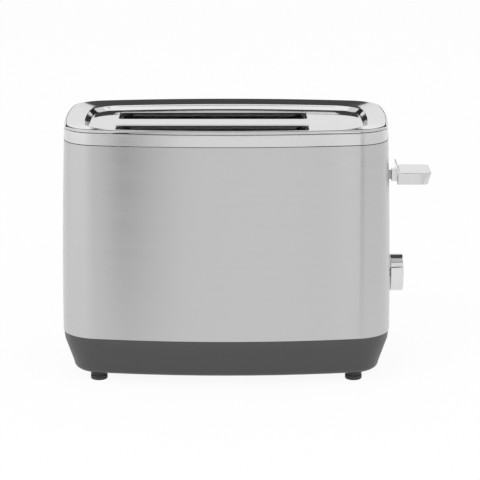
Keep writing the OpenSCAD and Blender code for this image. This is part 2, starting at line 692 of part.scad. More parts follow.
carriage_top = lever_z + stem_h/2 + 2*sheet_t;
module carriage() color("gray") difference() {
  arm_y = slot_y + 4*sheet_t;
  arm_z = lift_z + lift_h + sheet_t;
  neck_z = lift_z + 2.7*lift_h;
  union() {
    translate([carriage_x, 0, 0]) rotate([90, 0, 90]) linear_extrude(sheet_t) offset(1, $fn = 16) offset(-1)
      polygon([[-arm_y, tab_z], [arm_y, tab_z], [arm_y, arm_z], [rod_y + tab_w/2, neck_z],
        [rod_y + tab_w/2, carriage_top], [-neck_y, carriage_top], [-neck_y, neck_z], [-arm_y, arm_z]]);
    for (z = [tab_z, carriage_top - sheet_t])
      box_at(carriage_x, rod_y - tab_w/2, z, [tab_l + sheet_t, tab_w, sheet_t]);
    box_at(carriage_x, -magnet_y - tab_w/2, tab_z, [tab_l + sheet_t, tab_w, sheet_t]);
  }
  rod_up([rod_x, rod_y, tab_z - 1], rod_d + 2*fit, carriage_top);
}

neck_y = 8;

module guide_rod() color("silver") rod_up([rod_x, rod_y, frame_z], rod_d, roof_top - frame_z, 48);

// Compression spring around the guide rod, below the carriage
spring_z = frame_top + fit;
spring_l = tab_z - fit - spring_z;
module lift_spring() color("gray") {
  r = rod_d/2 + spring_wire/2 + 0.6;
  translate([rod_x, rod_y, spring_z + spring_wire/2])
    linear_extrude(spring_l - spring_wire, twist = -360*spring_turns, slices = 14*spring_turns)
      translate([r, 0]) circle(d = spring_wire*1.2, $fn = 6);
  for (z = [spring_z, spring_z + spring_l - spring_wire]) translate([rod_x, rod_y, z])
    difference() {
      cylinder(r = r + spring_wire/2, h = spring_wire, $fn = 32);
      translate([0, 0, -1]) cylinder(r = r - spring_wire/2, h = spring_wire + 2, $fn = 32);
    }
}

keeper_x = carriage_x + (tab_l - keeper_l)/2 + sheet_t;
keeper_w = core_d + 4;
module keeper() color("dimgray")
  box_at(keeper_x, -magnet_y - keeper_w/2, keeper_z, [keeper_l, keeper_w, keeper_h]);

// E-shaped core that stands on the chassis floor, open upwards towards the keeper
magnet_top = keeper_z - travel - run;
window_z = magnet_top - magnet_h*0.8;
window_w = keeper_l/2 - 1.5*core_leg;
module magnet_core() color("dimgray") difference() {
  box_at(keeper_x, -magnet_y - core_d/2, frame_top, [keeper_l, core_d, magnet_top - frame_top]);
  for (x = [core_leg, (keeper_l + core_leg)/2])
    box_at(keeper_x + x, -magnet_y - core_d, window_z, [window_w, 2*core_d, magnet_h]);
}
// Winding around the middle leg
module magnet_coil() color("chocolate") {
  h = magnet_top - window_z - 2;
  w = window_w - 2*fit;
  translate([keeper_x + keeper_l/2, -magnet_y, window_z + fit + h/2]) difference() {
    cube([core_leg + 2*fit + 2*w, core_d + 2*fit + 2*w, h], center = true);
    cube([core_leg + 2*fit, core_d + 2*fit, h + 2], center = true);
  }
}

module control_board() color("darkgreen") difference() {
  box_at(board_x, -board_y, frame_top + fit, [board_t, 2*board_y, board_top - frame_top - fit]);
  for (y = [-1, 1], z = [frame_top + 5, board_top - 5])
    rod_right([board_x - 1, y*(board_y - 4), z], 3.2, board_t + 2);
}
module potentiometer() color("steelblue") difference() {
  union() {
    rod_right([board_face, 0, dial_z], pot_d, pot_l);
    rod_right([board_face, 0, dial_z], 1.5*shaft_d, pot_l + shaft_d/2);
  }
  rod_right([board_face + pot_l, 0, dial_z], shaft_d + 2*fit, board_in);
}
module tact_switches() color("black") for (z = button_levels) union() {
  box_at(board_face, button_y - tact_w/2, z - tact_w/2, [tact_h*0.7, tact_w, tact_w]);
  rod_right([board_face, button_y, z], tact_w*0.6, tact_h);
}
// Mains switch: a block with two leaf contacts that the carriage closes
module contact_block() color("saddlebrown") translate([carriage_x + contact_w/3, -board_y, frame_top]) {
  cube([contact_w, contact_w*0.75, contact_w]);
  for (x = [0.1, 0.65]) translate([x*contact_w, contact_w/3, contact_w])
    cube([contact_w/4, ribbon_t + fit, contact_w*0.75]);
}

base();
body_wrap();
trim_ring();
top_cover();
crumb_tray();
foot(-1, -1);  // foot_front_left
foot(1, -1);  // foot_front_right
foot(-1, 1);  // foot_rear_left
foot(1, 1);  // foot_rear_right
base_screws();
cord_bushing();
lever_handle();
lever_stem();
browning_dial();
dial_shaft();
button(button_levels[0]);  // cancel_button
button(button_levels[1]);  // reheat_button
button(button_levels[2]);  // defrost_button
button_guide();
bottom_frame();
top_frame();
chassis_left();
chassis_right();
reflector(-1);  // reflector_front
reflector(1);  // reflector_rear
mica(-card_y);  // mica_front
mica(0);  // mica_centre
mica(card_y);  // mica_rear
ribbon(-card_y);  // ribbon_front
ribbon(0);  // ribbon_centre
ribbon(card_y);  // ribbon_rear
guard(-slot_y - guard_y);  // guard_front_outer
guard(-slot_y + guard_y);  // guard_front_inner
guard(slot_y - guard_y);  // guard_rear_inner
guard(slot_y + guard_y);  // guard_rear_outer
lift(-1);  // lift_front
lift(1);  // lift_rear
carriage();
guide_rod();
lift_spring();
keeper();
magnet_core();
magnet_coil();
control_board();
potentiometer();
tact_switches();
contact_block();
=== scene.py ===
import json
import math
import bpy
from mathutils import Matrix, Vector


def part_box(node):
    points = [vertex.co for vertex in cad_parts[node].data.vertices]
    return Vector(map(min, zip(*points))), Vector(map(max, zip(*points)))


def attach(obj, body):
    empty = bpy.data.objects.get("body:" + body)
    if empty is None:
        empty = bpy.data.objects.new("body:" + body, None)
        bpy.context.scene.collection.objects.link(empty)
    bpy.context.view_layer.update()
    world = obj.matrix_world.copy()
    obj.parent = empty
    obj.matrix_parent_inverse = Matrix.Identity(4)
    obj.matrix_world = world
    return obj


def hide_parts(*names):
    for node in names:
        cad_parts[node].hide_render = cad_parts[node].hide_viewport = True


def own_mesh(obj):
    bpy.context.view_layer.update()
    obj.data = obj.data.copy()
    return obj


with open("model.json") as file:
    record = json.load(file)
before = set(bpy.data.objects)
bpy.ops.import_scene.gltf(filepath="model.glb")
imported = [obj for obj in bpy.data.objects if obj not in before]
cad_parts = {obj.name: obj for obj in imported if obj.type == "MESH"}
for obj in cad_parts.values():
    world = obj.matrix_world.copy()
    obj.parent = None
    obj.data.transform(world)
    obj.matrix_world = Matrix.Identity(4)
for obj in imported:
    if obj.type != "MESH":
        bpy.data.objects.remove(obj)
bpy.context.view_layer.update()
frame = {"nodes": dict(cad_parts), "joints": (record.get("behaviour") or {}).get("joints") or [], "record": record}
nodes = frame["nodes"]
mm = 0.001


# modelling helpers

def deselectAll():
    if bpy.context.object and bpy.context.object.mode != "OBJECT":
        bpy.ops.object.mode_set(mode="OBJECT")
    bpy.ops.object.select_all(action="DESELECT")


def makeActive(piece):
    deselectAll()
    piece.select_set(True)
    bpy.context.view_layer.objects.active = piece


def startPoint(name, place):
    deselectAll()
    bpy.ops.mesh.primitive_plane_add(size=mm)
    piece = bpy.context.object
    piece.name = name
    bpy.ops.object.mode_set(mode="EDIT")
    bpy.ops.mesh.select_mode(type="VERT")
    bpy.ops.mesh.merge(type="CENTER")
    bpy.ops.transform.translate(value=place)
    return piece


def drawLine(points):
    for start, end in zip(points, points[1:]):  # each point is pulled out of the last one
        step = [b - a for a, b in zip(start, end)]
        bpy.ops.mesh.extrude_region_move(TRANSFORM_OT_translate={"value": step})


def startSection(name, points, closed=False):
    piece = startPoint(name, points[0])
    drawLine(points)
    bpy.ops.mesh.select_all(action="SELECT")
    if closed:
        bpy.ops.mesh.edge_face_add()
        bpy.ops.mesh.delete(type="ONLY_FACE")
        bpy.ops.mesh.select_all(action="SELECT")
    return piece


def closeSkin(doubles=0.02 * mm):
    bpy.ops.mesh.select_all(action="SELECT")
    bpy.ops.mesh.remove_doubles(threshold=doubles)
    bpy.ops.mesh.normals_make_consistent(inside=False)
    bpy.ops.object.mode_set(mode="OBJECT")


def applyModifier(piece, kind, **values):
    makeActive(piece)
    modifier = piece.modifiers.new(kind.title(), kind)
    for key, value in values.items():
        setattr(modifier, key, value)
    bpy.ops.object.modifier_apply(modifier=modifier.name)


def smoothOff(piece, angle=32):
    makeActive(piece)
    bpy.ops.object.shade_smooth_by_angle(angle=math.radians(angle))


def roundEdges(piece, width, segments=2, angle=35):
    applyModifier(piece, "BEVEL", width=width, segments=segments, limit_method="ANGLE",
                  angle_limit=math.radians(angle), use_clamp_overlap=True)


def flattenShading(piece):
    applyModifier(piece, "WEIGHTED_NORMAL", weight=50, keep_sharp=True)


def cutAway(piece, cutters):
    for cutter in cutters:
        applyModifier(piece, "BOOLEAN", operation="DIFFERENCE", solver="EXACT", object=cutter)
    for cutter in cutters:
        bpy.data.objects.remove(cutter)


def placeMesh(piece):
    makeActive(piece)
    bpy.ops.object.transform_apply(location=True, rotation=True, scale=True)


def rodCutter(place, radius, length, sides=48):
    deselectAll()
    bpy.ops.mesh.primitive_cylinder_add(vertices=sides, radius=radius, depth=length, location=place,
                                        rotation=(0, math.pi / 2, 0))
    placeMesh(bpy.context.object)
    return bpy.context.object


def joinAll(name, pieces):
    deselectAll()
    for piece in pieces:
        piece.select_set(True)
    bpy.context.view_layer.objects.active = pieces[0]
    bpy.ops.object.join()
    pieces[0].name = name
    return pieces[0]


def chooseEdges(piece, test):
    makeActive(piece)
    bpy.ops.object.mode_set(mode="EDIT")
    bpy.ops.mesh.select_mode(type="EDGE")
    bpy.ops.mesh.select_all(action="DESELECT")
    bpy.ops.object.mode_set(mode="OBJECT")
    for edge in piece.data.edges:
        edge.select = test(edge)
    bpy.ops.object.mode_set(mode="EDIT")


def bevelWhere(piece, test, width, segments):
    points = piece.data.vertices
    chooseEdges(piece, lambda edge: test(*[points[v].co for v in edge.vertices]))
    bpy.ops.mesh.bevel(offset=width, segments=segments, affect="EDGES", clamp_overlap=True)
    bpy.ops.mesh.select_mode(type="VERT")
    bpy.ops.object.mode_set(mode="OBJECT")


def boundaryEdges(piece):
    uses = {}
    for face in piece.data.polygons:
        for key in face.edge_keys:
            uses[key] = uses.get(key, 0) + 1
    return {edge.key for edge in piece.data.edges if uses.get(edge.key, 0) < 2}


def deselectPoints(piece):
    makeActive(piece)
    bpy.ops.object.mode_set(mode="EDIT")
    bpy.ops.mesh.select_mode(type="VERT")
    bpy.ops.mesh.select_all(action="DESELECT")
    bpy.ops.object.mode_set(mode="OBJECT")


def upwardShare(piece):
    area = sum(face.area for face in piece.data.polygons if abs(face.normal.z) > 0.7)
    return sum(face.area for face in piece.data.polygons if face.normal.z > 0.7) / area


def boxPiece(name, low, high):
    deselectAll()
    bpy.ops.mesh.primitive_cube_add(size=1, location=(Vector(low) + Vector(high)) / 2)
    piece = bpy.context.object
    piece.name = name
    piece.scale = Vector(high) - Vector(low)
    placeMesh(piece)
    return piece


def copyNode(name, node):
    makeActive(nodes[node])
    bpy.ops.object.duplicate()
    copy = bpy.context.object
    copy.name = name
    for key in [k for k in copy.keys() if k.startswith("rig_")]:
        del copy[key]
    copy.parent = None
    bpy.ops.object.mode_set(mode="EDIT")
    bpy.ops.mesh.select_all(action="SELECT")
    bpy.ops.mesh.remove_doubles(threshold=0.001 * mm)
    bpy.ops.mesh.dissolve_limited(angle_limit=math.radians(0.3))
    bpy.ops.object.mode_set(mode="OBJECT")
    return copy


def finishPiece(piece, body, slot, *replaced):
    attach(piece, body)
    if replaced:
        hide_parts(*replaced)
    piece.data.materials.clear()
    piece.data.materials.append(finishes[slot])
    return piece


# body outline: arcs that meet smoothly, spun around their own centres

wrapLow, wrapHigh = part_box("body_wrap")
shellForm = {"cornerR": 31 * mm, "endBow": 2.2 * mm, "frontBow": 8.2 * mm, "lean": 0.017,
             "crown": 0.6 * mm, "crownLevel": 98 * mm, "crownReach": 75 * mm,
             "cornerSteps": 24, "frontSteps": 28, "endSteps": 12}


def wallInset(z):
    rise = z - shellForm["crownLevel"]
    return shellForm["lean"] * rise + shellForm["crown"] * (rise / shellForm["crownReach"]) ** 2


halfWidth = wrapHigh.x + wallInset(wrapLow.z)
halfDepth = wrapHigh.y + wallInset(wrapLow.z)


def bowCentres():
    f = shellForm
    cornerX = halfWidth - f["cornerR"] - f["endBow"]
    cornerY = halfDepth - f["cornerR"] - f["frontBow"]
    endR = f["cornerR"] + (cornerY ** 2 + f["endBow"] ** 2) / (2 * f["endBow"])
    frontR = f["cornerR"] + (cornerX ** 2 + f["frontBow"] ** 2) / (2 * f["frontBow"])
    return halfWidth - endR, halfDepth - frontR, endR, frontR


def cornerCentre(inset, radius):
    endX, frontY, endR, frontR = bowCentres()
    reachEnd, reachFront = endR - inset - radius, frontR - inset - radius
    apart = math.hypot(endX, frontY)
    along = (reachEnd ** 2 - reachFront ** 2 + apart ** 2) / (2 * apart)
    across = math.sqrt(reachEnd ** 2 - along ** 2)
    return endX - (endX * along + frontY * across) / apart, (frontY * along - endX * across) / apart


def outlineArcs(inset, cornerR):
    f = shellForm
    endX, frontY = bowCentres()[:2]
    cornerX, cornerY = cornerCentre(inset, cornerR)
    endTurn = math.atan2(cornerY, cornerX - endX)
    frontTurn = math.atan2(cornerY - frontY, cornerX)
    corner = frontTurn - endTurn
    return [((endX, 0), endTurn, f["endSteps"] // 2), ((cornerX, -cornerY), corner, f["cornerSteps"]),
            ((0, -frontY), math.pi - 2 * frontTurn, f["frontSteps"]),
            ((-cornerX, -cornerY), corner, f["cornerSteps"]), ((-endX, 0), 2 * endTurn, f["endSteps"]),
            ((-cornerX, cornerY), corner, f["cornerSteps"]),
            ((0, frontY), math.pi - 2 * frontTurn, f["frontSteps"]),
            ((cornerX, cornerY), corner, f["cornerSteps"]), ((endX, 0), endTurn, f["endSteps"] // 2)]


def spinRound(arcs):
    for (x, y), turn, steps in arcs:
        bpy.ops.mesh.spin(steps=steps, angle=turn, center=(x, y, 0), axis=(0, 0, 1))


def sweepShell(name, section, closed=True, inset=0, cornerR=shellForm["cornerR"]):
    piece = startSection(name, [(halfWidth - x, 0, z) for x, z in section], closed)
    spinRound(outlineArcs(inset, cornerR))
    closeSkin()
    return piece


def roundCorner(cx, cz, radius, fromAngle, toAngle, steps):
    turns = [math.radians(fromAngle + (toAngle - fromAngle) * i / steps) for i in range(steps + 1)]
    return [(cx + radius * math.cos(a), cz + radius * math.sin(a)) for a in turns]


# finishes

def nodeMaterial(name):
    material = bpy.data.materials.new(name)
    material.use_nodes = True
    tree = material.node_tree
    return material, tree, tree.nodes["Principled BSDF"]


def addNode(tree, kind, **inputs):
    node = tree.nodes.new(kind)
    for key, value in inputs.items():
        node.inputs[key.replace("_", " ")].default_value = value
    return node


def newGroup(name, inputs, outputs):
    group = bpy.data.node_groups.new(name, "ShaderNodeTree")
    for label, kind, value in inputs:
        socket = group.interface.new_socket(name=label, in_out="INPUT", socket_type=kind)
        socket.default_value = value
    for label, kind in outputs:
        group.interface.new_socket(name=label, in_out="OUTPUT", socket_type=kind)
    return group, group.nodes.new("NodeGroupInput"), group.nodes.new("NodeGroupOutput")


def mathNode(tree, operation, first, second):
    node = tree.nodes.new("ShaderNodeMath")
    node.operation = operation
    for socket, value in zip(node.inputs, (first, second)):
        if isinstance(value, (int, float)):
            socket.default_value = value
        else:
            tree.links.new(value, socket)
    return node.outputs["Value"]


def grainGroup():
    group, given, out = newGroup("surfaceGrain", [
        ("Scale", "NodeSocketVector", (1, 1, 1)), ("Fineness", "NodeSocketFloat", 900.0),
        ("Depth", "NodeSocketFloat", 0.1), ("Roughness", "NodeSocketFloat", 0.4),
        ("Roughness Spread", "NodeSocketFloat", 0.1), ("Color", "NodeSocketColor", (0.5, 0.5, 0.5, 1)),
        ("Color Spread", "NodeSocketFloat", 0.08)],
        [("Color", "NodeSocketColor"), ("Roughness", "NodeSocketFloat"), ("Normal", "NodeSocketVector")])
    links = group.links
    place = group.nodes.new("ShaderNodeTexCoord")
    stretch = group.nodes.new("ShaderNodeVectorMath")
    stretch.operation = "MULTIPLY"
    links.new(place.outputs["Object"], stretch.inputs[0])
    links.new(given.outputs["Scale"], stretch.inputs[1])
    fine = addNode(group, "ShaderNodeTexNoise", Detail=4.0, Roughness=0.6)
    coarse = addNode(group, "ShaderNodeTexNoise", Detail=3.0, Roughness=0.55)
    for noise in (fine, coarse):
        links.new(stretch.outputs["Vector"], noise.inputs["Vector"])
    links.new(given.outputs["Fineness"], fine.inputs["Scale"])
    links.new(mathNode(group, "MULTIPLY", given.outputs["Fineness"], 0.06), coarse.inputs["Scale"])
    fineShare = mathNode(group, "SUBTRACT", fine.outputs["Fac"], 0.5)
    coarseShare = mathNode(group, "SUBTRACT", coarse.outputs["Fac"], 0.5)
    both = mathNode(group, "ADD", fineShare, coarseShare)
    spread = mathNode(group, "MULTIPLY", both, given.outputs["Roughness Spread"])
    links.new(mathNode(group, "ADD", given.outputs["Roughness"], spread), out.inputs["Roughness"])
    lightness = mathNode(group, "MULTIPLY", both, given.outputs["Color Spread"])
    tone = addNode(group, "ShaderNodeHueSaturation")
    links.new(mathNode(group, "ADD", lightness, 1.0), tone.inputs["Value"])
    links.new(given.outputs["Color"], tone.inputs["Color"])
    links.new(tone.outputs["Color"], out.inputs["Color"])
    bump = addNode(group, "ShaderNodeBump", Distance=0.0001)
    links.new(fine.outputs["Fac"], bump.inputs["Height"])
    links.new(given.outputs["Depth"], bump.inputs["Strength"])
    links.new(bump.outputs["Normal"], out.inputs["Normal"])
    return group


# lighter colour on convex edges, used only by the base plastic: a painted highlight standing in for the sheen on
# the base's corners
def edgeHighlightGroup():
    group, given, out = newGroup("paintedEdgeHighlight", [
        ("Color", "NodeSocketColor", (0.5, 0.5, 0.5, 1)),
        ("Highlight Color", "NodeSocketColor", (0.7, 0.7, 0.7, 1)),
        ("Amount", "NodeSocketFloat", 0.5)],
        [("Color", "NodeSocketColor"), ("Mask", "NodeSocketFloat")])
    links = group.links
    shape = group.nodes.new("ShaderNodeNewGeometry")
    place = group.nodes.new("ShaderNodeTexCoord")
    patches = addNode(group, "ShaderNodeTexNoise", Scale=180.0, Detail=3.0)
    links.new(place.outputs["Object"], patches.inputs["Vector"])
    edge = group.nodes.new("ShaderNodeMapRange")
    for key, value in (("From Min", 0.52), ("From Max", 0.62), ("To Min", 0.0), ("To Max", 1.0)):
        edge.inputs[key].default_value = value
    links.new(shape.outputs["Pointiness"], edge.inputs["Value"])
    broken = mathNode(group, "MULTIPLY", edge.outputs["Result"], patches.outputs["Fac"])
    mask = mathNode(group, "MULTIPLY", broken, given.outputs["Amount"])
    mix = group.nodes.new("ShaderNodeMix")
    mix.data_type = "RGBA"
    links.new(mask, mix.inputs["Factor"])
    links.new(given.outputs["Color"], mix.inputs["A"])
    links.new(given.outputs["Highlight Color"], mix.inputs["B"])
    links.new(mix.outputs["Result"], out.inputs["Color"])
    links.new(mask, out.inputs["Mask"])
    return group


grain = grainGroup()
highlightTree = edgeHighlightGroup()


def surface(name, color, roughness, metallic=0.0, scale=(1, 1, 1), fineness=900, depth=0.1,
            roughSpread=0.1, colorSpread=0.08, wornColor=None, highlightAmount=0.5, **sockets):
    material, tree, shader = nodeMaterial(name)
    texture = tree.nodes.new("ShaderNodeGroup")
    texture.node_tree = grain
    values = {"Scale": scale, "Fineness": fineness, "Depth": depth, "Roughness": roughness,
              "Roughness Spread": roughSpread, "Color": (*color, 1), "Color Spread": colorSpread}
    for key, value in values.items():
        texture.inputs[key].default_value = value
    edges = tree.nodes.new("ShaderNodeGroup")
    edges.node_tree = highlightTree
    # the edge colour is a painted highlight on convex edges
    edges.inputs["Highlight Color"].default_value = (*(wornColor or color), 1)
    edges.inputs["Amount"].default_value = highlightAmount
    tree.links.new(texture.outputs["Color"], edges.inputs["Color"])
    tree.links.new(edges.outputs["Color"], shader.inputs["Base Color"])
    tree.links.new(texture.outputs["Roughness"], shader.inputs["Roughness"])
    tree.links.new(texture.outputs["Normal"], shader.inputs["Normal"])
    shader.inputs["Metallic"].default_value = metallic
    for key, value in sockets.items():
        shader.inputs[key.replace("_", " ")].default_value = value
    return material


metalFinishes = {  # color, roughness and grain of each metal
    "brushed_wrap": dict(color=(0.56, 0.56, 0.56), roughness=0.33, scale=(0.02, 0.02, 1), fineness=2600,
                         depth=0.10, roughSpread=0.16, colorSpread=0.10, Anisotropic=0.88,
                         Anisotropic_Rotation=0.25),
    "satin_ring": dict(color=(0.66, 0.66, 0.66), roughness=0.26, scale=(0.03, 0.03, 1), fineness=3000,
                       depth=0.06, Anisotropic=0.6, Anisotropic_Rotation=0.25),
    "polished_cover": dict(color=(0.60, 0.60, 0.60), roughness=0.07, fineness=500, depth=0.004,
                           roughSpread=0.03, colorSpread=0.02),
    "tray_steel": dict(color=(0.55, 0.55, 0.55), roughness=0.34, scale=(1, 0.06, 1), depth=0.08),
    "zinc_screw": dict(color=(0.52, 0.52, 0.5), roughness=0.32, depth=0.1),
    "chrome_trim": dict(color=(0.66, 0.66, 0.66), roughness=0.05, depth=0.002,
                        roughSpread=0.03, colorSpread=0.01),
    "zinc_steel": dict(color=(0.50, 0.50, 0.48), roughness=0.38, depth=0.12, roughSpread=0.2),
    "chrome_dial": dict(color=(0.70, 0.70, 0.70), roughness=0.05, depth=0.002,
                        roughSpread=0.03, colorSpread=0.01),
    "chrome_button": dict(color=(0.80, 0.80, 0.80), roughness=0.09, depth=0.004,
                          roughSpread=0.03, colorSpread=0.02),
    "bright_reflector": dict(color=(0.72, 0.70, 0.66), roughness=0.25, scale=(0.05, 1, 1), depth=0.06,
                             colorSpread=0.2),
    "heating_ribbon": dict(color=(0.20, 0.17, 0.15), roughness=0.5, depth=0.15, colorSpread=0.3),
    "guard_wire": dict(color=(0.60, 0.60, 0.58), roughness=0.22, depth=0.05),
    "lift_steel": dict(color=(0.56, 0.56, 0.55), roughness=0.34, scale=(0.05, 1, 1), depth=0.1),
    "polished_rod": dict(color=(0.70, 0.70, 0.70), roughness=0.12, scale=(1, 1, 0.1), depth=0.02),
    "spring_wire": dict(color=(0.40, 0.40, 0.39), roughness=0.34, depth=0.08),
    "magnet_iron": dict(color=(0.14, 0.14, 0.14), roughness=0.5, scale=(0.02, 1, 0.02), fineness=2400,
                        depth=0.3),
    "copper_coil": dict(color=(0.50, 0.19, 0.08), roughness=0.3, scale=(0.02, 0.02, 1), fineness=2600,
                        depth=0.5),
}
softFinishes = {  # the same for plastics, rubber and boards
    # the base plastic's lighter edge colour is a painted highlight on its corners
    "base_plastic": dict(color=(0.052, 0.052, 0.054), roughness=0.42, fineness=2600, depth=0.10,
                         colorSpread=0.15, wornColor=(0.10, 0.10, 0.10)),
    "black_bushing": dict(color=(0.018, 0.018, 0.018), roughness=0.6, fineness=1800, depth=0.15),
    "inner_plastic": dict(color=(0.09, 0.09, 0.09), roughness=0.5, fineness=1800, depth=0.12),
    "mica_sheet": dict(color=(0.46, 0.36, 0.22), roughness=0.5, fineness=260, depth=0.10, colorSpread=0.7),
    "circuit_board": dict(color=(0.015, 0.13, 0.05), roughness=0.3, fineness=300, depth=0.1,
                          colorSpread=0.5),
    "pot_case": dict(color=(0.06, 0.11, 0.24), roughness=0.4, fineness=1500, depth=0.08),
    "switch_plastic": dict(color=(0.02, 0.02, 0.02), roughness=0.25, fineness=1500, depth=0.04),
    "contact_phenolic": dict(color=(0.15, 0.06, 0.025), roughness=0.45, fineness=700, depth=0.15,
                             colorSpread=0.4),
    "foot_rubber": dict(color=(0.035, 0.035, 0.035), roughness=0.62, fineness=1500, depth=0.2),
}
finishes = {slot: surface(slot, metallic=1.0, **values) for slot, values in metalFinishes.items()}
finishes.update({slot: surface(slot, **values) for slot, values in softFinishes.items()})


def galvanisedSheet():
    material, tree, shader = nodeMaterial("galvanised_sheet")
    place = tree.nodes.new("ShaderNodeTexCoord")
    spangle = addNode(tree, "ShaderNodeTexVoronoi", Scale=150.0)
    tree.links.new(place.outputs["Object"], spangle.inputs["Vector"])
    tone = tree.nodes.new("ShaderNodeMapRange")
    tone.inputs["To Min"].default_value = 0.42
    tone.inputs["To Max"].default_value = 0.62
    tree.links.new(spangle.outputs["Color"], tone.inputs["Value"])
    tree.links.new(tone.outputs["Result"], shader.inputs["Base Color"])
    gloss = tree.nodes.new("ShaderNodeMapRange")
    gloss.inputs["To Min"].default_value = 0.28
    gloss.inputs["To Max"].default_value = 0.48
    tree.links.new(spangle.outputs["Color"], gloss.inputs["Value"])
    tree.links.new(gloss.outputs["Result"], shader.inputs["Roughness"])
    shader.inputs["Metallic"].default_value = 1.0
    return material


finishes["galvanised_sheet"] = galvanisedSheet()
for part in frame["record"]["subparts"]:
    if part["material_slot"] in finishes:
        node = nodes[part["node"]]
        for place in node.material_slots:
            place.material = finishes[part["material_slot"]]
print("finishes ready:", len(finishes))


# steel wrap

wrapForm = {"sheet": 0.8 * mm, "levels": 14, "edgeR": 0.2 * mm, "slotR": 2.7 * mm, "slotOver": 2 * mm,
            "dialPlay": 1.2 * mm, "buttonPlay": 0.4 * mm, "buttonCollar": 1.2 * mm, "cutDepth": 20 * mm}


leverTravel = -frame["joints"][0]["range_m"][0]


def makeWrap():
    f = wrapForm
    levels = [wrapLow.z + (wrapHigh.z - wrapLow.z) * i / f["levels"] for i in range(f["levels"] + 1)]
    outer = [(wallInset(z), z) for z in levels]
    inner = [(wallInset(z) + f["sheet"], z) for z in reversed(levels)]
    piece = sweepShell("steelWrap", outer + inner)
    stemLow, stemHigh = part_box("lever_stem")
    middle = stemHigh.z + f["slotOver"] - f["slotR"]
    slot = rodCutter((halfWidth, 0, middle), f["slotR"], f["cutDepth"])
    deselectPoints(slot)
    for vertex in slot.data.vertices:  # the rod's lower half is pulled down to make the lever's slot
        vertex.select = vertex.co.z < middle - 0.01 * mm
    bpy.ops.object.mode_set(mode="EDIT")
    drop = leverTravel + 2 * f["slotOver"] + (stemHigh.z - stemLow.z) - 2 * f["slotR"]
    bpy.ops.transform.translate(value=(0, 0, -drop))
    bpy.ops.object.mode_set(mode="OBJECT")
    cutters = [slot]
    for node, play in (("dial_shaft", f["dialPlay"]), ("cancel_button", f["buttonPlay"]),
                       ("reheat_button", f["buttonPlay"]), ("defrost_button", f["buttonPlay"])):
        low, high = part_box(node)
        collar = f["buttonCollar"] if node.endswith("button") else 0
        radius = (high.y - low.y) / 2 - collar + play
        place = (halfWidth, (low.y + high.y) / 2, (low.z + high.z) / 2)
        cutters.append(rodCutter(place, radius, f["cutDepth"]))
    cutAway(piece, cutters)
    roundEdges(piece, f["edgeR"], angle=50)
    smoothOff(piece)
    flattenShading(piece)
    return finishPiece(piece, "root", "brushed_wrap", "body_wrap")


steelWrap = makeWrap()
print("wrap ready:", len(steelWrap.data.polygons))


# trim ring

ringForm = {"sheet": 2.2 * mm, "lowerR": 0.45 * mm, "upperR": 1.4 * mm}


def makeTrimRing():
    low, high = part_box("trim_ring")
    inset = wallInset((low.z + high.z) / 2)
    f = ringForm
    section = roundCorner(inset + f["lowerR"], low.z + f["lowerR"], f["lowerR"], 270, 180, 4)
    section += roundCorner(inset + f["upperR"], high.z - f["upperR"], f["upperR"], 180, 90, 10)
    section += [(inset + f["sheet"], high.z), (inset + f["sheet"], low.z)]
    piece = sweepShell("trimRing", section)
    smoothOff(piece)
    flattenShading(piece)
    return finishPiece(piece, "root", "satin_ring", "trim_ring")


trimRing = makeTrimRing()
print("ring ready:", len(trimRing.data.polygons))


# polished cover with its rim, plate and two rolled slots

coverForm = {"sheet": 1 * mm, "edgeR": 2.1 * mm, "edgeRun": 0.4 * mm, "rimWidth": 15.7 * mm, "fall": 2 * mm,
             "innerR": 0.5 * mm, "slope": 5.4 * mm, "hollow": 2 * mm, "wallSteps": 8, "flat": 1.5 * mm,
             "recess": 6 * mm, "recessR": 27 * mm, "slotLength": 152.2 * mm, "slotWidth": 31.2 * mm,
             "slotGap": 26.2 * mm, "slotShift": -11 * mm, "slotR": 3.6 * mm, "slotSteps": 8,
             "rollR": 0.8 * mm, "rollSteps": 6, "flange": 9 * mm, "near": 0.01 * mm}


